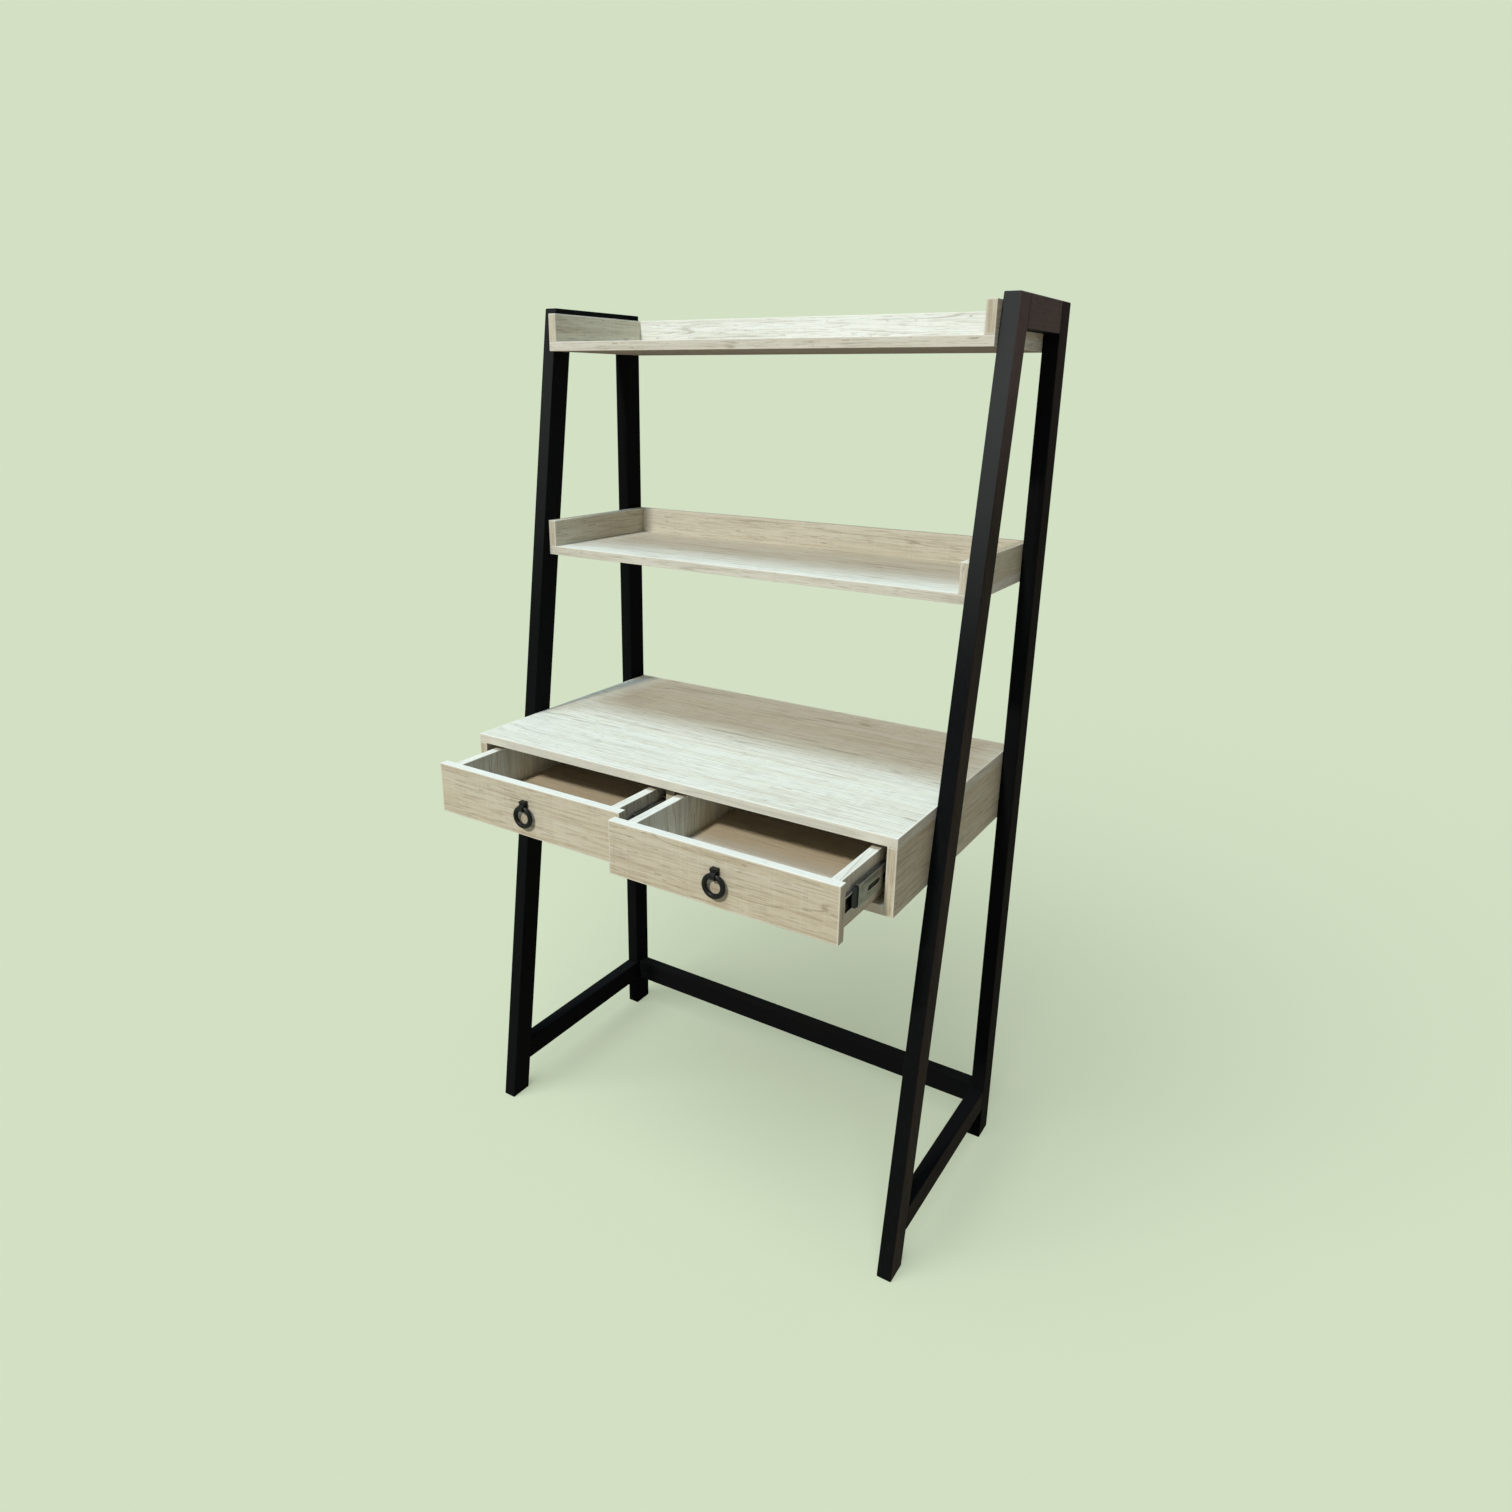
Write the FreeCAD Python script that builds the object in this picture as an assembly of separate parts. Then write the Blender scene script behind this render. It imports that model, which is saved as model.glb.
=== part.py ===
import FreeCAD, Part
import math
import os

# Ladder desk. Two stained side frames, each a leaning front leg and an upright rear leg, carry two
# shelves with a low rim and a desk case with two drawers on ball slides. Millimetres: X to the right,
# Y to the back, Z up from the floor. The origin is at the bottom centre of the whole part, with the
# drawers drawn out as they rest.

# Overall sizes
overall_width = 880.0         # over the outer faces of the side frames
overall_height = 1550.0       # floor to the top of the side frames
frame_depth = 465.0           # front of the front foot to the back of the rear leg
desk_height = 810.0           # floor to the upper face of the desk top
case_height = 126.0           # desk top's upper face to the case's underside
top_shelf_drop = 58.0         # top of the side frames to the upper face of the top shelf
shelf_pitch = 364.0           # upper face of the middle shelf to that of the top shelf

# Side frames
frame_thickness = 26.0
leg_width = 44.0
leg_lean = 222.0              # how far the front leg's face runs back from foot to top
top_rail_height = 48.0
stretcher_height = 44.0
stretcher_lift = 66.0         # floor to the underside of the stretchers
frame_ease = 2.0              # rounding of the frame's edges

# Laminated boards
board = 16.0
board_ease = 0.8              # rounding of the edge banding
rim_height = 47.5             # the rim above the shelf board
top_shelf_overhang = 11.0     # shelf front ahead of the leg, at the shelf's underside
middle_shelf_setback = 19.5   # shelf front behind the leg's face, at the shelf's underside
divider_setback = 20.0        # divider behind the case's front edge

# Drawers
left_opening = 112.0          # how far each drawer is drawn out as it rests
right_opening = 142.0
front_top_gap = 4.0
front_bottom_gap = 1.0
front_side_gap = 1.5
front_middle_gap = 3.0        # between the two drawer fronts
box_lift = 11.0               # case floor to the underside of the drawer's sides
box_drop = 5.0                # the sides' top below the front's top
drawer_bottom = 3.0           # hardboard

# Ball slides: a case member, a middle member, a ball cage and a drawer member
slide_length = 400.0
slide_height = 45.0
slide_thickness = 12.7
slide_wall = 1.2
slide_clearance = 0.4
slide_room = 57.0             # behind the case members, up to the back of the desk case
slide_head_room = 2.2         # between the case member's web and the middle member's web
slide_lip = 4.6               # ball race folded in at the edges of two members
middle_travel_share = 0.7     # travel of the middle member for a given travel of the drawer
slot_length = 40.0
slot_height = 9.0
slot_lead = 28.0              # front end of the middle member to its first slot
slot_pitch = 50.0
cage_length = 160.0           # plastic ball cage between the middle and drawer members
cage_wall = 1.0
cage_lead = 2.0               # its front end behind the middle member's, with the drawer shut
cage_nose = 12.0              # length of its tapered front end
cage_tip_share = 0.45         # height of the tip, of the whole cage's

# Ring pulls
ring_radius = 16.0            # to the middle of the bar
ring_bar = 4.0                # radius of the bar
ring_clearance = 0.3
pull_rise = 8.5               # the ring's axis above the middle of the drawer front
eye_radius = 6.6
eye_width = 10.0
eye_gap = 0.4                 # drawer face to the back of the eye
head_rise = 11.4              # top of the post above the ring's axis
head_width = 12.5
head_lip = 3.0                # upright part at the top of the head
head_depth = 9.0
heel_drop = 3.0               # foot of the post below the ring's axis
pull_ease = 0.6

# Fasteners
dowel_radius = 4.0
dowel_length = 30.0
dowel_face_depth = 10.0       # how deep a dowel stands in a board's face
wood_screw_length = 35.0
wood_screw_radius = 2.0
wood_screw_head = 4.0         # radius of the countersunk head
wood_screw_head_height = 2.6
small_screw_length = 8.0
small_screw_radius = 1.5
small_screw_head = 3.0
small_screw_head_height = 1.8
pull_screw_radius = 2.0
pull_screw_head = 4.2
pull_screw_head_height = 2.4
pull_screw_grip = 6.0         # thread inside the pull's head
pull_screw_rise = 8.2         # the screw above the ring's axis
drive_width = 0.9             # cross slots of the screw heads
drive_depth = 1.0
drive_span_share = 1.1        # length of a slot, of the head's radius

# Places along a piece, as shares of its length
rail_dowel_shares = (0.28, 0.72)
case_dowel_shares = (0.12, 0.5, 0.88)
back_dowel_shares = (0.3, 0.7)
rim_screw_shares = (0.3, 0.75)
back_rim_screw_shares = (0.2, 0.5, 0.8)
leg_screw_shares = (0.11, 0.89)
slide_screw_shares = (0.1, 0.5, 0.9)
bottom_screw_shares = (0.15, 0.5, 0.85)
middle_share = 0.5

# Planes that several pieces share
pull_standoff = eye_gap + eye_radius
pull_reach = pull_standoff + eye_radius
desk_depth = divider_setback + slide_length + slide_room + board
overall_depth = desk_depth + max(left_opening, right_opening) + pull_reach
back = overall_depth / 2
desk_front = back - desk_depth
outer = overall_width / 2
inner = outer - frame_thickness
bay_outer = inner - board
bay_inner = board / 2
top_shelf_height = overall_height - top_shelf_drop
middle_shelf_height = top_shelf_height - shelf_pitch
case_floor = desk_height - case_height + board
case_roof = desk_height - board
leg_run = leg_width * math.hypot(leg_lean, overall_height) / overall_height
slide_front = desk_front + divider_setback
box_length = slide_length + divider_setback - board

RIGHT = FreeCAD.Vector(1, 0, 0)
REAR = FreeCAD.Vector(0, 1, 0)
UP = FreeCAD.Vector(0, 0, 1)

pieces = {}
dowels = []
wood_screws = []
slide_screws = []


def leg_face(z):
    """Y of the leaning leg's front face at a height."""
    return back - frame_depth + leg_lean * z / overall_height


def block(x0, x1, y0, y1, z0, z1):
    """Box between two corners, in either order along X."""
    low = FreeCAD.Vector(min(x0, x1), y0, z0)
    return Part.makeBox(abs(x1 - x0), y1 - y0, z1 - z0, low)


def eased(solid, radius):
    """Solid with all its edges rounded."""
    return solid.makeFillet(radius, solid.Edges)


def panel(x0, x1, y0, y1, z0, z1):
    """Laminated board with banded, slightly rounded edges."""
    return eased(block(x0, x1, y0, y1, z0, z1), board_ease)


def prism(outline, start, depth):
    """Closed outline of 3-D points, pushed along a vector."""
    points = [point + start for point in outline]
    face = Part.Face(Part.makePolygon(points + points[:1]))
    return face.extrude(depth)


def side_member(side, outline):
    """Frame member from a (y, z) outline, as thick as the frame, with eased edges."""
    points = [FreeCAD.Vector(0, y, z) for y, z in outline]
    start = RIGHT * (inner if side > 0 else -outer)
    return eased(prism(points, start, RIGHT * frame_thickness), frame_ease)


def turned(profile, place, direction):
    """Solid of revolution from (radius, along) points, set at a place and pointed in a direction."""
    points = [FreeCAD.Vector(radius, 0, along) for radius, along in profile]
    face = Part.Face(Part.makePolygon(points + points[:1]))
    solid = face.revolve(FreeCAD.Vector(), UP, 360)
    solid.Placement = FreeCAD.Placement(place, FreeCAD.Rotation(UP, direction))
    return solid


def drill(tool, names):
    """Cut a fastener's hole in each named piece."""
    for name in names:
        pieces[name] = pieces[name].cut(tool).Solids[0]


def dowel(seat, direction, depth, names, group):
    """Dowel across a joint: depth of it lies behind the seat, the rest ahead in the direction."""
    peg = Part.makeCylinder(dowel_radius, dowel_length, seat - direction * depth, direction)
    drill(peg, names)
    group.append(peg)


def crossed(screw, top, direction, head):
    """Screw with a driver's cross sunk in the top of its head."""
    span = head * drive_span_share
    place = FreeCAD.Placement(top, FreeCAD.Rotation(UP, direction))
    for length, width in ((span, drive_width), (drive_width, span)):
        slot = Part.makeBox(length, width, drive_depth, FreeCAD.Vector(-length / 2, -width / 2, 0))
        slot.Placement = place
        screw = screw.cut(slot)
    return screw.Solids[0]


def wood_screw(seat, direction, names):
    """Countersunk screw with its head flush at the seat."""
    profile = [
        (0, 0),
        (wood_screw_head, 0),
        (wood_screw_radius, wood_screw_head_height),
        (wood_screw_radius, wood_screw_length),
        (0, wood_screw_length),
    ]
    screw = turned(profile, seat, direction)
    drill(screw, names)
    wood_screws.append(crossed(screw, seat, direction, wood_screw_head))


def pan_screw(seat, direction, head, head_height, radius, length):
    """Pan-head screw whose head sits on the seat."""
    profile = [
        (0, -head_height),
        (head, -head_height),
        (head, 0),
        (radius, 0),
        (radius, length),
        (0, length),
    ]
    return turned(profile, seat, direction)


def small_screw(seat, direction, names, group):
    """Pan-head screw of the slides and drawer bottoms."""
    screw = pan_screw(seat, direction, small_screw_head, small_screw_head_height,
                      small_screw_radius, small_screw_length)
    drill(screw, names)
    top = seat - direction * small_screw_head_height
    group.append(crossed(screw, top, direction, small_screw_head))


def along(start, end, share):
    """Point at a share of the way between two values."""
    return start + (end - start) * share


# Side frames: leaning front leg, upright rear leg, a rail flush with their tops and a low stretcher.
# Dowels hold the rails to the legs.
rail_floor = overall_height - top_rail_height
stretcher_roof = stretcher_lift + stretcher_height
rear_leg_face = back - leg_width
rail_middle = outer - frame_thickness / 2

for side, hand in ((-1, "left_"), (1, "right_")):
    pieces[hand + "front_leg"] = side_member(side, [
        (leg_face(0), 0),
        (leg_face(0) + leg_run, 0),
        (leg_face(overall_height) + leg_run, overall_height),
        (leg_face(overall_height), overall_height),
    ])
    pieces[hand + "rear_leg"] = side_member(side, [
        (rear_leg_face, 0),
        (back, 0),
        (back, overall_height),
        (rear_leg_face, overall_height),
    ])
    rails = (("top_rail", rail_floor, overall_height), ("side_stretcher", stretcher_lift, stretcher_roof))
    for rail, low, high in rails:
        pieces[hand + rail] = side_member(side, [
            (leg_face(low) + leg_run, low),
            (rear_leg_face, low),
            (rear_leg_face, high),
            (leg_face(high) + leg_run, high),
        ])
        for share in rail_dowel_shares:
            z = along(low, high, share)
            front_seat = FreeCAD.Vector(side * rail_middle, leg_face(z) + leg_run, z)
            rear_seat = FreeCAD.Vector(side * rail_middle, rear_leg_face, z)
            dowel(front_seat, REAR, dowel_length / 2, (hand + "front_leg", hand + rail), dowels)
            dowel(rear_seat, REAR, dowel_length / 2, (hand + rail, hand + "rear_leg"), dowels)

# Rear stretcher between the rear legs, in the middle of their width.
stretcher_middle = back - leg_width / 2
pieces["rear_stretcher"] = eased(block(
    -inner, inner,
    stretcher_middle - frame_thickness / 2, stretcher_middle + frame_thickness / 2,
    stretcher_lift, stretcher_roof), frame_ease)
for side, hand in ((-1, "left_"), (1, "right_")):
    for share in rail_dowel_shares:
        seat = FreeCAD.Vector(side * inner, stretcher_middle, along(stretcher_lift, stretcher_roof, share))
        dowel(seat, RIGHT * side, dowel_length / 2, ("rear_stretcher", hand + "rear_leg"), dowels)


def shelf(name, height, front):
    """Shelf board between the frames, with a rim on its two ends and its back."""
    under = height - board
    rim_top = height + rim_height
    board_name = name + "_board"
    back_rim = name + "_back_rim"
    pieces[board_name] = panel(-inner, inner, front, back, under, height)
    pieces[back_rim] = panel(-bay_outer, bay_outer, back - board, back, height, rim_top)
    leg_y = leg_face(height)
    front_joint = along(max(leg_y, front), leg_y + leg_run, middle_share)
    for side, hand in ((-1, "left_"), (1, "right_")):
        rim = name + "_" + hand + "rim"
        pieces[rim] = panel(side * bay_outer, side * inner, front, back, height, rim_top)
        for leg, y in (("front_leg", front_joint), ("rear_leg", stretcher_middle)):
            seat = FreeCAD.Vector(side * inner, y, height - board / 2)
            dowel(seat, RIGHT * side, dowel_length / 2, (board_name, hand + leg), dowels)
        for share in rim_screw_shares:
            seat = FreeCAD.Vector(side * (inner - board / 2), along(front, back, share), under)
            wood_screw(seat, UP, (board_name, rim))
    for share in back_rim_screw_shares:
        seat = FreeCAD.Vector(along(-bay_outer, bay_outer, share), back - board / 2, under)
        wood_screw(seat, UP, (board_name, back_rim))


shelf("top_shelf", top_shelf_height, leg_face(top_shelf_height - board) - top_shelf_overhang)
shelf("middle_shelf", middle_shelf_height, leg_face(middle_shelf_height - board) + middle_shelf_setback)

# Desk case: top, two sides, bottom, back and a middle divider, doweled together. Screws from inside
# the case hold its sides to the four legs.
case_under = desk_height - case_height
pieces["desk_top"] = panel(-inner, inner, desk_front, back, case_roof, desk_height)
pieces["desk_bottom"] = panel(-bay_outer, bay_outer, desk_front, back, case_under, case_floor)
pieces["desk_back"] = panel(-bay_outer, bay_outer, back - board, back, case_floor, case_roof)
pieces["desk_divider"] = panel(-bay_inner, bay_inner, desk_front + divider_setback, back - board,
                               case_floor, case_roof)
for share in case_dowel_shares:
    y = along(desk_front + divider_setback, back - board, share)
    dowel(FreeCAD.Vector(0, y, case_roof), -UP, dowel_face_depth, ("desk_top", "desk_divider"), dowels)
    dowel(FreeCAD.Vector(0, y, case_floor), UP, dowel_face_depth, ("desk_bottom", "desk_divider"), dowels)

for side, hand in ((-1, "left_"), (1, "right_")):
    wall = "desk_" + hand + "side"
    pieces[wall] = panel(side * bay_outer, side * inner, desk_front, back, case_under, case_roof)
    for share in case_dowel_shares:
        y = along(desk_front, back, share)
        roof_seat = FreeCAD.Vector(side * (inner - board / 2), y, case_roof)
        floor_seat = FreeCAD.Vector(side * bay_outer, y, case_floor - board / 2)
        dowel(roof_seat, -UP, dowel_face_depth, ("desk_top", wall), dowels)
        dowel(floor_seat, RIGHT * -side, dowel_face_depth, (wall, "desk_bottom"), dowels)
    for share in back_dowel_shares:
        seat = FreeCAD.Vector(side * bay_outer, back - board / 2, along(case_floor, case_roof, share))
        dowel(seat, RIGHT * -side, dowel_face_depth, (wall, "desk_back"), dowels)
    for share in leg_screw_shares:
        z = along(case_floor, case_roof, share)
        front_leg_y = leg_face(z) + leg_run / 2
        wood_screw(FreeCAD.Vector(side * bay_outer, front_leg_y, z), RIGHT * side, (wall, hand + "front_leg"))
        rear_y = back - leg_width / 2
        wood_screw(FreeCAD.Vector(side * bay_outer, rear_y, z), RIGHT * side, (wall, hand + "rear_leg"))

# Heights inside a drawer.
front_low = case_floor + front_bottom_gap
front_high = case_roof - front_top_gap
side_low = case_floor + box_lift
side_high = front_high - box_drop
slide_middle = along(side_low, side_high, middle_share)
pull_z = along(front_low, front_high, middle_share) + pull_rise

# Sections of the slide's members as (u, v) points: u from the case to the drawer, v upwards. Each
# member runs between the folded lips of the one around it.
case_half = slide_height / 2
middle_half = case_half - slide_lip - slide_clearance
drawer_half = middle_half - slide_lip - slide_clearance
middle_web = slide_wall + slide_head_room
drawer_web = slide_thickness - slide_wall
race_end = drawer_web - 2 * slide_clearance
race_start = race_end - slide_wall
cage_web = middle_web + slide_wall + slide_clearance
cage_end = race_start - slide_clearance
cage_half = middle_half - slide_wall - slide_clearance
cage_inside = drawer_half + slide_clearance
flange_end = cage_web + cage_wall + slide_clearance
cage_travel_share = (1 + middle_travel_share) / 2
slot_count = 1 + int((slide_length - 2 * slot_lead - slot_length) / slot_pitch)


def lipped_section(web, half):
    """Channel open towards the drawer, with lips folded in at its two edges."""
    floor = web + slide_wall
    return [
        (web, -half), (race_end, -half), (race_end, slide_lip - half), (race_start, slide_lip - half),
        (race_start, slide_wall - half), (floor, slide_wall - half), (floor, half - slide_wall),
        (race_start, half - slide_wall), (race_start, half - slide_lip), (race_end, half - slide_lip),
        (race_end, half), (web, half),
    ]


case_section = lipped_section(0, case_half)
middle_section = lipped_section(middle_web, middle_half)
drawer_section = [
    (slide_thickness, -drawer_half), (slide_thickness, drawer_half), (flange_end, drawer_half),
    (flange_end, drawer_half - slide_wall), (drawer_web, drawer_half - slide_wall),
    (drawer_web, slide_wall - drawer_half), (flange_end, slide_wall - drawer_half),
    (flange_end, -drawer_half),
]
cage_section = [
    (cage_web, -cage_half), (cage_end, -cage_half), (cage_end, -cage_inside),
    (cage_web + cage_wall, -cage_inside), (cage_web + cage_wall, cage_inside), (cage_end, cage_inside),
    (cage_end, cage_half), (cage_web, cage_half),
]


def slide_member(section, face, facing, front, length):
    """Slide member of one section, on a case face that looks to +X or -X."""
    outline = [FreeCAD.Vector(face + facing * u, front, slide_middle + v) for u, v in section]
    return prism(outline, FreeCAD.Vector(), REAR * length)


def slotted(member, face, facing, front):
    """Middle member with its row of round-ended slots through the web."""
    half = slot_height / 2
    near = face + facing * slide_wall
    far = face + facing * race_start
    for count in range(slot_count):
        start = front + slot_lead + slot_pitch * count
        ends = (start + half, start + slot_length - half)
        slot = block(near, far, ends[0], ends[1], slide_middle - half, slide_middle + half)
        rounds = []
        for y in ends:
            centre = FreeCAD.Vector(min(near, far), y, slide_middle)
            rounds.append(Part.makeCylinder(half, abs(far - near), centre, RIGHT))
        member = member.cut(slot.fuse(rounds)).Solids[0]
    return member


def slide_cage(face, facing, front):
    """Moulded ball cage that runs in the middle member, with a tapered front end."""
    cage = slide_member(cage_section, face, facing, front, cage_length)
    start = RIGHT * (face + facing * cage_web)
    depth = RIGHT * (facing * (cage_end - cage_web))
    for edge in (-cage_half, cage_half):
        corner = [
            FreeCAD.Vector(0, front, slide_middle + edge),
            FreeCAD.Vector(0, front + cage_nose, slide_middle + edge),
            FreeCAD.Vector(0, front, slide_middle + edge * cage_tip_share),
        ]
        cage = cage.cut(prism(corner, start, depth)).Solids[0]
    return cage


def slides(drawer, hand, face, facing, wall, opening, screws, cages):
    """Three members of one slide, on the case, between, and on the drawer's side, and a ball cage."""
    name = drawer + hand + "slide_"
    middle_front = slide_front - opening * middle_travel_share
    drawer_front = slide_front - opening
    pieces[name + "outer"] = slide_member(case_section, face, facing, slide_front, slide_length)
    middle = slide_member(middle_section, face, facing, middle_front, slide_length)
    pieces[name + "middle"] = slotted(middle, face, facing, middle_front)
    pieces[name + "inner"] = slide_member(drawer_section, face, facing, drawer_front, slide_length)
    cages.append(slide_cage(face, facing, slide_front + cage_lead - opening * cage_travel_share))
    for share in slide_screw_shares:
        y = slide_front + slide_length * share
        case_seat = FreeCAD.Vector(face + facing * slide_wall, y, slide_middle)
        small_screw(case_seat, RIGHT * -facing, (name + "outer", wall), slide_screws)
        drawer_seat = FreeCAD.Vector(face + facing * drawer_web, y - opening, slide_middle)
        small_screw(drawer_seat, RIGHT * facing, (name + "inner", drawer + hand + "side"), screws)


def pull(drawer, x, face):
    """Cast post with an eye under its head, a screw through the drawer front and a ring hung in the eye."""
    axis = FreeCAD.Vector(x, face - pull_standoff, pull_z)
    half = eye_width / 2
    eye = eased(Part.makeCylinder(eye_radius, eye_width, axis - RIGHT * half, RIGHT), pull_ease)
    edge = [
        (half, -heel_drop), (half, eye_radius),
        (head_width / 2, head_rise - head_lip), (head_width / 2, head_rise),
    ]
    outline = [FreeCAD.Vector(x + across, face, pull_z + up) for across, up in edge]
    outline += [FreeCAD.Vector(x - across, face, pull_z + up) for across, up in reversed(edge)]
    head = eased(prism(outline, FreeCAD.Vector(), -REAR * head_depth), pull_ease)
    bore = ring_radius - ring_bar - ring_clearance
    mouth = ring_radius - math.sqrt(bore ** 2 - half ** 2)
    left = axis - RIGHT * half
    right = axis + RIGHT * half
    waist = Part.Arc(left + UP * mouth, axis + UP * (ring_radius - bore), right + UP * mouth).toShape()
    sides = Part.makePolygon([right + UP * mouth, right, left, left + UP * mouth]).Edges
    hole = Part.Face(Part.Wire(Part.__sortEdges__([waist] + sides))).revolve(axis, RIGHT, 360)
    pieces[drawer + "pull_post"] = head.fuse(eye).removeSplitter().cut(hole).Solids[0]
    pieces[drawer + "pull_ring"] = Part.makeTorus(ring_radius, ring_bar, axis - UP * ring_radius, REAR)
    seat = FreeCAD.Vector(x, face + board, pull_z + pull_screw_rise)
    screw = pan_screw(seat, -REAR, pull_screw_head, pull_screw_head_height,
                      pull_screw_radius, board + pull_screw_grip)
    drill(screw, (drawer + "front", drawer + "pull_post"))
    top = seat + REAR * pull_screw_head_height
    pieces[drawer + "pull_screw"] = crossed(screw, top, -REAR, pull_screw_head)


# Drawers: an inset front, two sides, a back and a hardboard bottom screwed on from below. The front
# covers the divider, so it reaches nearly to the middle of the case.
for side, drawer, opening in ((-1, "left_drawer_", left_opening), (1, "right_drawer_", right_opening)):
    face = desk_front - opening
    box_front = face + board
    box_back = box_front + box_length
    near = bay_inner + slide_thickness
    far = bay_outer - slide_thickness
    near_hand, far_hand = ("right_", "left_") if side < 0 else ("left_", "right_")
    drawer_dowels = []
    drawer_screws = []
    cages = []

    pieces[drawer + "front"] = panel(side * front_middle_gap / 2, side * (bay_outer - front_side_gap),
                                     face, box_front, front_low, front_high)
    pieces[drawer + "back"] = panel(side * (near + board), side * (far - board),
                                    box_back - board, box_back, side_low, side_high)
    pieces[drawer + "bottom"] = block(side * near, side * far, box_front, box_back,
                                      side_low - drawer_bottom, side_low)

    walls = ((near_hand, near, near + board, 1), (far_hand, far - board, far, -1))
    for hand, low_x, high_x, inward in walls:
        wall = drawer + hand + "side"
        pieces[wall] = panel(side * low_x, side * high_x, box_front, box_back, side_low, side_high)
        wall_middle = side * along(low_x, high_x, middle_share)
        inner_face = side * (high_x if inward > 0 else low_x)
        for share in back_dowel_shares:
            z = along(side_low, side_high, share)
            front_seat = FreeCAD.Vector(wall_middle, box_front, z)
            back_seat = FreeCAD.Vector(inner_face, box_back - board / 2, z)
            dowel(front_seat, REAR, dowel_face_depth, (drawer + "front", wall), drawer_dowels)
            dowel(back_seat, RIGHT * (side * inward), dowel_face_depth,
                  (wall, drawer + "back"), drawer_dowels)
        for share in bottom_screw_shares:
            seat = FreeCAD.Vector(wall_middle, along(box_front, box_back, share), side_low - drawer_bottom)
            small_screw(seat, UP, (drawer + "bottom", wall), drawer_screws)

    slides(drawer, near_hand, side * bay_inner, side, "desk_divider", opening, drawer_screws, cages)
    slides(drawer, far_hand, side * bay_outer, -side, "desk_" + far_hand + "side", opening,
           drawer_screws, cages)
    pull(drawer, side * along(front_middle_gap / 2, bay_outer - front_side_gap, middle_share), face)
    pieces[drawer + "dowels"] = Part.makeCompound(drawer_dowels)
    pieces[drawer + "screws"] = Part.makeCompound(drawer_screws)
    pieces[drawer + "slide_cages"] = Part.makeCompound(cages)

pieces["dowels"] = Part.makeCompound(dowels)
pieces["wood_screws"] = Part.makeCompound(wood_screws)
pieces["slide_screws"] = Part.makeCompound(slide_screws)

os.makedirs("parts", exist_ok=True)
for name, shape in pieces.items():
    shape.exportStep("parts/" + name + ".step")
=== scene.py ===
import math

import bmesh
import bpy
from mathutils import Matrix, Vector


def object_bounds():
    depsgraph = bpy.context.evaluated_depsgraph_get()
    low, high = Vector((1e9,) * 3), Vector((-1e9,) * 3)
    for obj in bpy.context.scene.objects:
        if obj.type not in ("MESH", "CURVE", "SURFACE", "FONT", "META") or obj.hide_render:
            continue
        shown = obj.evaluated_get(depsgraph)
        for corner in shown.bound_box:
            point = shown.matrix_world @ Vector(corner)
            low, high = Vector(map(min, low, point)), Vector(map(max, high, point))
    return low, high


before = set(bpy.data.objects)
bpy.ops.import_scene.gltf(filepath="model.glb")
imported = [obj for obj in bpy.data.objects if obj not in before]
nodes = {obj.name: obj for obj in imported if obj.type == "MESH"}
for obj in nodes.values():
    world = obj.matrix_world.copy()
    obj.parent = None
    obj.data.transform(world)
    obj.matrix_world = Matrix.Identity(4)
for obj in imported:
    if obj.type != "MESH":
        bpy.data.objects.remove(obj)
cad_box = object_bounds()


# Side frames
# Two leaning front legs, two upright rear legs, rails and stretchers of solid hardwood, sawn square,
# rounded along the edges, doweled together and brushed with a black-brown stain under a satin lacquer.
def add(tree, kind, inputs=None, **settings):
    """Shader node of a kind, with its settings and with a value or a link for each input."""
    node = tree.nodes.new("ShaderNode" + kind)
    for name, value in settings.items():
        setattr(node, name, value)
    for name, value in (inputs or {}).items():
        if isinstance(value, bpy.types.NodeSocket):
            tree.links.new(value, node.inputs[name])
        else:
            node.inputs[name].default_value = value
    return node


def reckon(tree, operation, *values):
    """Result of one step of arithmetic."""
    return add(tree, "Math", dict(enumerate(values)), operation=operation).outputs[0]


def parts(tree, coordinate):
    """X, Y and Z of a texture coordinate."""
    whole = add(tree, "TexCoord").outputs[coordinate]
    return add(tree, "SeparateXYZ", {"Vector": whole}).outputs


def blank_finish(name):
    """New material with its node tree and its shader."""
    finish = bpy.data.materials.new(name)
    finish.use_nodes = True
    return finish, finish.node_tree, finish.node_tree.nodes["Principled BSDF"]


def grain_turn(grain, lean=0.0):
    """Rotation that brings the grain, which runs along one axis of the part, to X."""
    quarter = math.pi / 2
    return {"X": (0, 0, 0), "Y": (0, 0, -quarter), "Z": (0, quarter, lean)}[grain]


def grain_space(tree, grain, lean=0.0):
    """Object coordinates turned so that X runs along the grain of the wood."""
    spot = add(tree, "TexCoord").outputs["Object"]
    return add(tree, "Mapping", {"Vector": spot, "Rotation": grain_turn(grain, lean)}).outputs["Vector"]


def streaks(tree, space, cells, detail=3.0, roughness=0.55):
    """Noise with so many cells to the metre along, across and through the grain."""
    stretched = add(tree, "Mapping", {"Vector": space, "Scale": cells}).outputs["Vector"]
    return add(tree, "TexNoise", {
        "Vector": stretched, "Scale": 1.0, "Detail": detail, "Roughness": roughness,
    }).outputs["Fac"]


def level(tree, value, low, high, start=0.0, end=1.0):
    """Value between low and high, smoothly spread from start to end."""
    return add(tree, "MapRange", {
        "Value": value, "From Min": low, "From Max": high, "To Min": start, "To Max": end,
    }, interpolation_type="SMOOTHSTEP").outputs["Result"]


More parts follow.
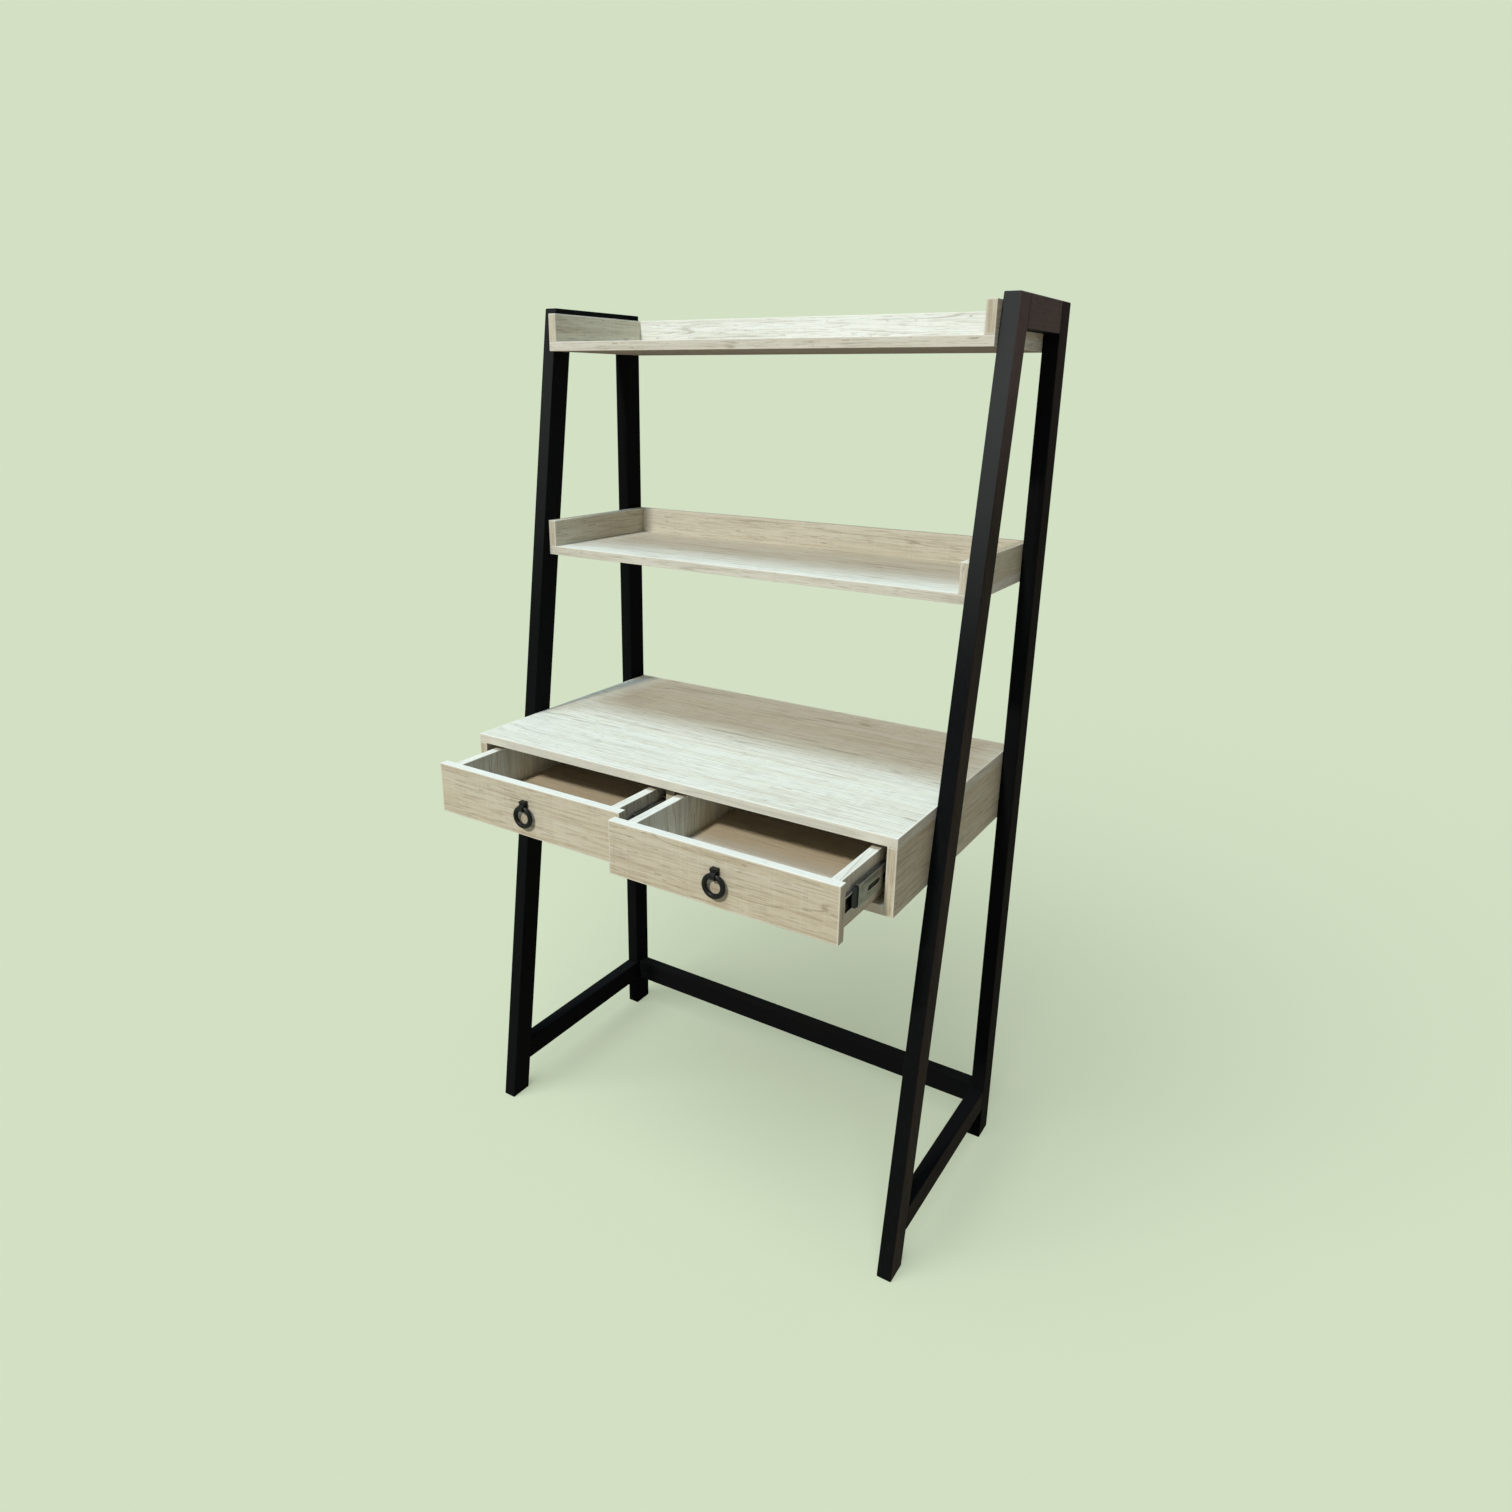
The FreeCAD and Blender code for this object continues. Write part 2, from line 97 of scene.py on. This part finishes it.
def stain(tree, share, under, over):
    """Colour over another by a share."""
    mixed = add(tree, "Mix", {"Factor": share}, data_type="RGBA")
    for socket, colour in ((mixed.inputs[6], under), (mixed.inputs[7], over)):
        if isinstance(colour, bpy.types.NodeSocket):
            tree.links.new(colour, socket)
        else:
            socket.default_value = (*colour, 1)
    return mixed.outputs[2]


def arris(tree, reach):
    """Mask of a piece's edges, reach in metres, where the surface turns away from its neighbours."""
    rounded = add(tree, "Bevel", {"Radius": reach}, samples=8).outputs["Normal"]
    flat = add(tree, "NewGeometry").outputs["Normal"]
    match = add(tree, "VectorMath", {0: rounded, 1: flat}, operation="DOT_PRODUCT").outputs["Value"]
    return level(tree, match, 0.99, 0.90)


def relief(tree, shader, height, strength, depth):
    """Fine height pattern on the surface, depth in metres."""
    bump = add(tree, "Bump", {"Height": height, "Strength": strength, "Distance": depth})
    tree.links.new(bump.outputs["Normal"], shader.inputs["Normal"])


def stained_wood(name, grain, outward, lean=0.0, painted_sheen=0.0, figure_and_light=1.0, gloss=0.008):
    """Black-brown stain with a share of brown on the outer face, partly figured grain and partly painted
    light; near the top a painted pale sheen on the front face and a painted paler brown.
    """
    black = (0.0065, 0.0075, 0.0085)
    black_fibre = (0.018, 0.015, 0.015)
    sheen_grey = (0.050, 0.053, 0.057)
    brown = (0.038, 0.0235, 0.021)
    deep_brown = (0.017, 0.011, 0.010)
    brown_fibre = (0.049, 0.032, 0.028)
    painted_light_brown = (0.138, 0.098, 0.103)
    edge_wear_and_highlight = (0.050, 0.032, 0.028)
    finish, tree, shader = blank_finish(name)
    space = grain_space(tree, grain, lean)
    cloud = streaks(tree, space, (2.5, 26, 26), 3)
    fibre = streaks(tree, space, (6, 300, 300), 4, 0.6)
    pores = streaks(tree, space, (28, 1300, 1300), 2)
    facing = parts(tree, "Normal")
    rise = parts(tree, "Object")["Z"]
    high_up = level(tree, rise, 0.92, 1.48, 0.0, painted_sheen)
    in_front = level(tree, facing["Y"], -0.5, -0.9)
    dark = stain(tree, level(tree, fibre, 0.48, 0.75, 0.0, 0.35), black, black_fibre)
    # Painted light: a pale sheen on the front face, growing towards the top.
    dark = stain(tree, reckon(tree, "MULTIPLY", high_up, in_front), dark, sheen_grey)
    warm = stain(tree, level(tree, cloud, 0.35, 0.68, 0.0, 0.75), brown, deep_brown)
    warm = stain(tree, level(tree, fibre, 0.48, 0.74, 0.0, 0.6), warm, brown_fibre)
    # Painted light: the brown grows paler towards the top.
    warm = stain(tree, level(tree, rise, 1.2, 1.5, 0.0, 0.85), warm, painted_light_brown)
    warm = stain(tree, level(tree, pores, 0.56, 0.68, 0.0, 0.6), warm, black)
    # The outer face's brown is partly figured grain and partly painted light on the side that catches it;
    # the inner faces stay near black, partly as painted shade.
    outer = level(tree, facing["X"], 0.4 * outward, 0.9 * outward, 0.0, figure_and_light)
    colour = stain(tree, outer, dark, warm)
    patchy = level(tree, cloud, 0.4, 0.65, 0.0, 0.5)
    # Lighter brown in patches along the edges: partly rubbed stain, partly a painted highlight.
    colour = stain(tree, reckon(tree, "MULTIPLY", arris(tree, reach=0.0012), patchy), colour, edge_wear_and_highlight)
    tree.links.new(colour, shader.inputs["Base Color"])
    tree.links.new(level(tree, fibre, 0.3, 0.75, 0.40, 0.56), shader.inputs["Roughness"])
    shader.inputs["Specular IOR Level"].default_value = gloss
    shader.inputs["Specular Tint"].default_value = (1.0, 0.84, 1.0, 1)
    height = reckon(tree, "SUBTRACT", fibre, level(tree, pores, 0.5, 0.7, 0.0, 0.8))
    relief(tree, shader, height, strength=0.3, depth=0.0004)
    return finish


def dress(finish, *names):
    """Give CAD nodes a finish in all their material slots."""
    for name in names:
        for slot in nodes[name].material_slots:
            slot.material = finish


leg_run, leg_rise = 0.222, 1.55
leg_lean = math.atan2(leg_run, leg_rise)
# The leaning legs' front faces take the painted sheen near the top, the right one more strongly.
for hand, outward, painted_sheen in (("left_", -1, 0.4), ("right_", 1, 1.0)):
    leaning = stained_wood(hand + "leaning_wood", "Z", outward, leg_lean, painted_sheen)
    upright = stained_wood(hand + "upright_wood", "Z", outward, figure_and_light=0.3, gloss=0.002)
    rail = stained_wood(hand + "rail_wood", "Y", outward)
    stretcher = stained_wood(hand + "stretcher_wood", "Y", outward, figure_and_light=0.65, gloss=0.004)
    dress(leaning, hand + "front_leg")
    dress(upright, hand + "rear_leg")
    dress(rail, hand + "top_rail")
    dress(stretcher, hand + "side_stretcher")
dress(stained_wood("rear_stretcher_wood", "X", 1), "rear_stretcher")


# Shelves
# Two shelves of chipboard faced with a printed limed-oak laminate, each with a low rim on three sides.
# The rims stand on the board and are screwed from below; every edge is banded and trimmed round.
def board_space(tree, grain, banding):
    """Grain space that turns by a quarter on a board's ends, where the banding runs along the edge."""
    space = grain_space(tree, grain)
    facing = add(tree, "TexCoord").outputs["Normal"]
    turned = add(tree, "Mapping", {"Vector": facing, "Rotation": grain_turn(grain)}, vector_type="NORMAL")
    along = add(tree, "SeparateXYZ", {"Vector": turned.outputs["Vector"]}).outputs["X"]
    on_end = reckon(tree, "GREATER_THAN", reckon(tree, "ABSOLUTE", along), 0.7)
    edge = add(tree, "Mapping", {"Vector": space, "Rotation": banding}).outputs["Vector"]
    choice = add(tree, "Mix", {"Factor": on_end}, data_type="VECTOR")
    tree.links.new(space, choice.inputs[4])
    tree.links.new(edge, choice.inputs[5])
    return choice.outputs[1]


def hairlines(tree, space, cells, count, width):
    """Thin growth lines that follow the contours of a stretched noise."""
    growth = streaks(tree, space, cells, 2, 0.45)
    swing = reckon(tree, "PINGPONG", reckon(tree, "MULTIPLY", growth, count), 0.5)
    return level(tree, swing, width, 0.0)


def limed_oak(name, grain, banding, tone, top_light_share=0.0, under=0.0, front=0.0):
    """Printed oak from limed white, tone 0, to tan, tone 1.

    The top faces take a share of painted cool light, the under faces a share of painted brown shade and
    the front faces a share of painted pale light.
    """
    def shade(white, tan):
        return tuple(a + tone * (b - a) for a, b in zip(white, tan))

    ground = shade((0.755, 0.75, 0.675), (0.655, 0.60, 0.452))
    lime = shade((0.81, 0.815, 0.765), (0.70, 0.67, 0.55))
    streak = shade((0.57, 0.545, 0.46), (0.49, 0.42, 0.295))
    dark = shade((0.30, 0.26, 0.195), (0.24, 0.18, 0.11))
    pale = (0.82, 0.81, 0.74)
    painted_top_light = (0.84, 0.87, 0.86)
    brown = (0.20, 0.155, 0.11)
    finish, tree, shader = blank_finish(name)
    space = board_space(tree, grain, banding)
    cloud = streaks(tree, space, (1.4, 22, 22), 3)
    bands = streaks(tree, space, (3.2, 110, 110), 4, 0.62)
    fibre = streaks(tree, space, (13, 330, 330), 3, 0.6)
    pores = streaks(tree, space, (26, 700, 700), 2)
    flecks = streaks(tree, space, (34, 210, 210), 3, 0.6)
    saw = streaks(tree, space, (270, 9, 9), 2)
    rings = hairlines(tree, space, (1.1, 19, 19), count=9.0, width=0.08)
    shown = level(tree, streaks(tree, space, (3, 14, 14), 2), 0.47, 0.62, 0.0, 0.6)
    facing = parts(tree, "Normal")
    colour = stain(tree, level(tree, cloud, 0.38, 0.64, 0.0, 0.7), ground, lime)
    colour = stain(tree, level(tree, bands, 0.48, 0.66, 0.0, 0.55), colour, streak)
    colour = stain(tree, level(tree, bands, 0.46, 0.34, 0.0, 0.22), colour, pale)
    colour = stain(tree, level(tree, fibre, 0.51, 0.66, 0.0, 0.60), colour, streak)
    colour = stain(tree, level(tree, pores, 0.55, 0.68, 0.0, 0.45), colour, dark)
    colour = stain(tree, reckon(tree, "MULTIPLY", rings, shown), colour, dark)
    colour = stain(tree, level(tree, flecks, 0.62, 0.72, 0.0, 0.62), colour, dark)
    colour = stain(tree, level(tree, saw, 0.52, 0.66, 0.0, 0.10), colour, pale)
    colour = stain(tree, level(tree, saw, 0.48, 0.34, 0.0, 0.10), colour, streak)
    # Painted light: cool pale on the top faces.
    colour = stain(tree, level(tree, facing["Z"], 0.7, 0.9, 0.0, top_light_share), colour, painted_top_light)
    # Painted shade: brown on the under faces.
    colour = stain(tree, level(tree, facing["Z"], -0.7, -0.9, 0.0, under), colour, brown)
    # Painted light: pale on the front faces.
    colour = stain(tree, level(tree, facing["Y"], -0.7, -0.9, 0.0, front), colour, pale)
    # Pale along the edges: partly the banding's pale core, partly a painted highlight.
    colour = stain(tree, arris(tree, reach=0.006), colour, pale)
    tree.links.new(colour, shader.inputs["Base Color"])
    tree.links.new(level(tree, fibre, 0.3, 0.75, 0.46, 0.62), shader.inputs["Roughness"])
    tree.links.new(level(tree, facing["Z"], -0.7, -0.9, 0.3, 0.0), shader.inputs["Specular IOR Level"])
    height = reckon(tree, "SUBTRACT", fibre, level(tree, pores, 0.55, 0.72, 0.0, 1.0))
    relief(tree, shader, height, strength=0.22, depth=0.0003)
    return finish


about_rise = (0, 0, math.pi / 2)
about_width = (0, math.pi / 2, 0)
# The boards are one laminate; their tones differ partly as the print does and partly as painted light and
# shade. The top shelf's back rim is painted whiter as light falls on it.
oak_shelf = limed_oak("limed_oak_shelf", "X", about_rise, tone=0.0, under=0.75)
oak_back_rim = limed_oak("limed_oak_back_rim", "X", about_width, tone=0.15)
oak_top_rim = limed_oak("limed_oak_top_rim", "X", about_width, tone=-0.6)
oak_side_rim = limed_oak("limed_oak_side_rim", "Y", about_width, tone=0.7)
for shelf in ("top_shelf_", "middle_shelf_"):
    dress(oak_shelf, shelf + "board")
    dress(oak_side_rim, shelf + "left_rim", shelf + "right_rim")
dress(oak_top_rim, "top_shelf_back_rim")
dress(oak_back_rim, "middle_shelf_back_rim")


# Desk case
# A box of the same laminated board: top, bottom, two sides, a back and a divider between the drawers,
# doweled together and screwed to the four legs from inside.
# Painted light and shade here too: the desk top's front edge painted pale and its under faces brown, the
# top edges of the back and drawer fronts painted light, and the sides and divider a deeper tan as painted
# shade.
oak_top = limed_oak("limed_oak_top", "X", about_rise, tone=0.35, under=0.75, front=0.6)
oak_wide = limed_oak("limed_oak_wide", "X", about_width, tone=0.8, top_light_share=0.5)
oak_deep = limed_oak("limed_oak_deep", "Y", about_width, tone=1.0)
dress(oak_top, "desk_top", "desk_bottom")
dress(oak_wide, "desk_back")
dress(oak_deep, "desk_left_side", "desk_right_side", "desk_divider")


# Ball slides
# Three members rolled from zinc-plated steel strip: one screwed to the case, one to the drawer and a
# slotted one between them that carries the balls.
def zinc(name):
    """Zinc plating with drawn lines along the strip, a faint cloudy bloom and a painted highlight along
    the edges.
    """
    dull, bright = (0.085, 0.08, 0.078), (0.21, 0.20, 0.19)
    line = (0.06, 0.057, 0.056)
    edge_wear_and_highlight = (0.62, 0.60, 0.57)
    finish, tree, shader = blank_finish(name)
    space = grain_space(tree, "Y")
    bloom = streaks(tree, space, (28, 70, 70), 3, 0.65)
    drawn = streaks(tree, space, (12, 2200, 2200), 3)
    colour = stain(tree, level(tree, bloom, 0.35, 0.65), dull, bright)
    colour = stain(tree, level(tree, drawn, 0.5, 0.8, 0.0, 0.4), colour, line)
    # Painted highlight along the edges, with a little edge wear.
    colour = stain(tree, arris(tree, reach=0.0012), colour, edge_wear_and_highlight)
    tree.links.new(colour, shader.inputs["Base Color"])
    tree.links.new(level(tree, drawn, 0.3, 0.7, 0.32, 0.5), shader.inputs["Roughness"])
    shader.inputs["Metallic"].default_value = 1.0
    relief(tree, shader, drawn, strength=0.15, depth=0.0001)
    return finish


slide_zinc = zinc("slide_zinc")
for drawer in ("left_drawer_", "right_drawer_"):
    for hand in ("left_", "right_"):
        dress(slide_zinc, *(drawer + hand + "slide_" + member for member in ("outer", "middle", "inner")))


# Ball cages
# Moulded black nylon cages that hold the balls between the middle and drawer members. They run half as
# far past the middle member as the drawer does.
def black_nylon(name):
    """Moulded nylon with a fine spark-eroded texture."""
    deep, shallow = (0.004, 0.004, 0.0045), (0.011, 0.011, 0.0115)
    finish, tree, shader = blank_finish(name)
    space = grain_space(tree, "X")
    pits = streaks(tree, space, (2600, 2600, 2600), 2)
    colour = stain(tree, level(tree, pits, 0.35, 0.7), deep, shallow)
    tree.links.new(colour, shader.inputs["Base Color"])
    tree.links.new(level(tree, pits, 0.3, 0.7, 0.45, 0.65), shader.inputs["Roughness"])
    shader.inputs["Specular IOR Level"].default_value = 0.15
    relief(tree, shader, pits, strength=0.3, depth=0.0001)
    return finish


dress(black_nylon("black_nylon"), "left_drawer_slide_cages", "right_drawer_slide_cages")


# Drawers
# Each drawer is a front, two sides and a back of laminated board, doweled, with a hardboard bottom
# screwed on from below. The sides have their grain upright.
def hardboard(name):
    """Thin hardboard printed in tan oak with short fibres, with painted pale light on its top face
    towards the drawer's front.
    """
    tan, light_tan = (0.64, 0.545, 0.395), (0.72, 0.64, 0.50)
    brown_fibre = (0.44, 0.35, 0.235)
    pale = (0.76, 0.78, 0.75)
    speck = (0.34, 0.265, 0.175)
    finish, tree, shader = blank_finish(name)
    space = grain_space(tree, "X")
    cloud = streaks(tree, space, (3, 14, 14), 3)
    fibre = streaks(tree, space, (16, 320, 320), 4, 0.65)
    specks = streaks(tree, space, (300, 700, 700), 3, 0.65)
    painted_light_near_front = level(tree, parts(tree, "Object")["Y"], -0.105, -0.150, 0.0, 0.55)
    on_top = level(tree, parts(tree, "Normal")["Z"], 0.5, 0.9)
    colour = stain(tree, level(tree, cloud, 0.35, 0.65), tan, light_tan)
    colour = stain(tree, level(tree, fibre, 0.46, 0.72, 0.0, 0.6), colour, brown_fibre)
    # Painted light: pale cool tone on the top face towards the drawer's front.
    colour = stain(tree, reckon(tree, "MULTIPLY", painted_light_near_front, on_top), colour, pale)
    colour = stain(tree, level(tree, specks, 0.56, 0.74, 0.0, 0.5), colour, speck)
    tree.links.new(colour, shader.inputs["Base Color"])
    tree.links.new(level(tree, fibre, 0.3, 0.7, 0.5, 0.68), shader.inputs["Roughness"])
    relief(tree, shader, fibre, strength=0.2, depth=0.0002)
    return finish


tan_hardboard = hardboard("tan_hardboard")
# The drawer sides take painted light on their top edges.
oak_upright = limed_oak("limed_oak_upright", "Z", about_rise, tone=0.35, top_light_share=0.15)
for drawer in ("left_drawer_", "right_drawer_"):
    dress(oak_wide, drawer + "front", drawer + "back")
    dress(oak_upright, drawer + "left_side", drawer + "right_side")
    dress(tan_hardboard, drawer + "bottom")


# Ring pulls
# A cast zinc post with an eye and a loose ring, both powder-coated matt black and rubbed a little
# where fingers take the ring.
def black_cast(name):
    """Matt black coat with a fine orange-peel texture."""
    coat, rubbed = (0.004, 0.004, 0.0045), (0.012, 0.0115, 0.0115)
    finish, tree, shader = blank_finish(name)
    space = grain_space(tree, "X")
    peel = streaks(tree, space, (900, 900, 900), 2)
    rub = streaks(tree, space, (120, 120, 120), 3)
    colour = stain(tree, level(tree, rub, 0.5, 0.75), coat, rubbed)
    tree.links.new(colour, shader.inputs["Base Color"])
    tree.links.new(level(tree, rub, 0.3, 0.7, 0.5, 0.36), shader.inputs["Roughness"])
    shader.inputs["Specular IOR Level"].default_value = 0.2
    relief(tree, shader, peel, strength=0.25, depth=0.0002)
    return finish


pull_black = black_cast("pull_black")
for drawer in ("left_drawer_", "right_drawer_"):
    dress(pull_black, drawer + "pull_post", drawer + "pull_ring")


# Dowels and screws
# Plain beech dowels glued across the joints, and zinc-plated steel screws with a cross recess in the
# head, driven flush into the board and the slides.
def beech(name):
    """Plain beech with short darker flecks."""
    light, dark = (0.58, 0.42, 0.27), (0.42, 0.27, 0.16)
    finish, tree, shader = blank_finish(name)
    space = grain_space(tree, "X")
    fleck = streaks(tree, space, (400, 900, 900), 2)
    colour = stain(tree, level(tree, fleck, 0.5, 0.7), light, dark)
    tree.links.new(colour, shader.inputs["Base Color"])
    tree.links.new(level(tree, fleck, 0.3, 0.7, 0.55, 0.7), shader.inputs["Roughness"])
    return finish


dress(beech("plain_beech"), "dowels", "left_drawer_dowels", "right_drawer_dowels")
screw_zinc = zinc("screw_zinc")
dress(screw_zinc, "wood_screws", "slide_screws")
for drawer in ("left_drawer_", "right_drawer_"):
    dress(screw_zinc, drawer + "screws", drawer + "pull_screw")


# Light
# A warm key from the upper front, a broad cool light from above and an even sky. The floor has a very
# broad lamp of its own, so that the object's shadow on it is one soft pool.
scene = bpy.context.scene
backdrop = (0.651, 0.745, 0.552)
sky = (0.15, 0.145, 0.14)
lamps = (
    ("key", 0.64, 5, (1.0, 0.93, 0.80), (-0.14, -1.09, 1.0)),
    ("overhead", 0.82, 24, (0.64, 0.85, 1.0), (-0.06, -0.14, 0.99)),
    ("floor_lamp", 1.0, 64, (1.0, 1.0, 1.0), (-0.12, -0.76, 0.9)),
)


def seen_rays(tree):
    """Rays that show the backdrop: straight from the camera, in gloss and through glass."""
    path = add(tree, "LightPath").outputs
    seen = reckon(tree, "MAXIMUM", path["Is Camera Ray"], path["Is Glossy Ray"])
    return reckon(tree, "MAXIMUM", seen, path["Is Transmission Ray"])


world = bpy.data.worlds.new("studio")
scene.world = world
world.use_nodes = True
tree = world.node_tree
tree.links.new(stain(tree, seen_rays(tree), sky, backdrop), tree.nodes["Background"].inputs["Color"])
on_floor = bpy.data.collections.new("on_floor")
off_floor = bpy.data.collections.new("off_floor")
floor_light = Vector(sky)
for name, strength, spread, colour, toward in lamps:
    light = bpy.data.lights.new(name, "SUN")
    light.energy = strength * math.pi
    light.angle = math.radians(spread)
    light.color = colour
    lamp = bpy.data.objects.new(name, light)
    lamp.rotation_euler = Vector(toward).to_track_quat("Z", "Y").to_euler()
    scene.collection.objects.link(lamp)
    lamp.light_linking.receiver_collection = on_floor if name == "floor_lamp" else off_floor
    if name == "floor_lamp":
        floor_light += strength * Vector(toward).normalized().z * Vector(colour)


# Floor
# A plain pale green sweep. Near half of its tone glows evenly and the rest takes the object's shadow.
floor_reach = 60.0
glow_share = 0.45
floor_bounce = (0.40, 0.37, 0.30)
floor_mesh = bpy.data.meshes.new("floor")
sheet = bmesh.new()
bmesh.ops.create_grid(sheet, x_segments=1, y_segments=1, size=floor_reach)
sheet.to_mesh(floor_mesh)
sheet.free()
floor = bpy.data.objects.new("floor", floor_mesh)
scene.collection.objects.link(floor)
on_floor.objects.link(floor)
off_floor.objects.link(floor)
off_floor.collection_objects[0].light_linking.link_state = "EXCLUDE"
paint, tree, shader = blank_finish("pale_green_floor")
seen = seen_rays(tree)
shown = tuple((1 - glow_share) * colour / light for colour, light in zip(backdrop, floor_light))
tree.links.new(stain(tree, seen, floor_bounce, shown), shader.inputs["Base Color"])
tree.links.new(stain(tree, seen, (0, 0, 0), backdrop), shader.inputs["Emission Color"])
shader.inputs["Emission Strength"].default_value = glow_share
shader.inputs["Roughness"].default_value = 1.0
shader.inputs["Specular IOR Level"].default_value = 0.0
floor_mesh.materials.append(paint)


# Camera
# Set where the photograph was taken: to the right of the desk, at a height between the two shelves.
image_size = 1512
focal_pixels = 1036.1
centre_pixel = Vector((730.44, 717.01))
spot = Vector((0.93814, cad_box[1].y - 1.75715, 1.41899))
yaw, pitch, roll = (math.radians(angle) for angle in (32.61, -17.70, 0.65))
ahead = Vector((-math.sin(yaw) * math.cos(pitch), math.cos(yaw) * math.cos(pitch), math.sin(pitch)))
level_right = ahead.cross(Vector((0, 0, 1))).normalized()
level_up = level_right.cross(ahead)
right = math.cos(roll) * level_right + math.sin(roll) * level_up
up = math.cos(roll) * level_up - math.sin(roll) * level_right
camera = bpy.data.cameras.new("camera")
camera.sensor_width = 36.0
camera.lens = camera.sensor_width * focal_pixels / image_size
camera.shift_x = (image_size / 2 - centre_pixel.x) / image_size
camera.shift_y = (centre_pixel.y - image_size / 2) / image_size
viewer = bpy.data.objects.new("camera", camera)
turn = Matrix((right, up, -ahead)).transposed().to_4x4()
viewer.matrix_world = Matrix.Translation(spot) @ turn
scene.collection.objects.link(viewer)
scene.camera = viewer
scene.view_settings.view_transform = "Standard"
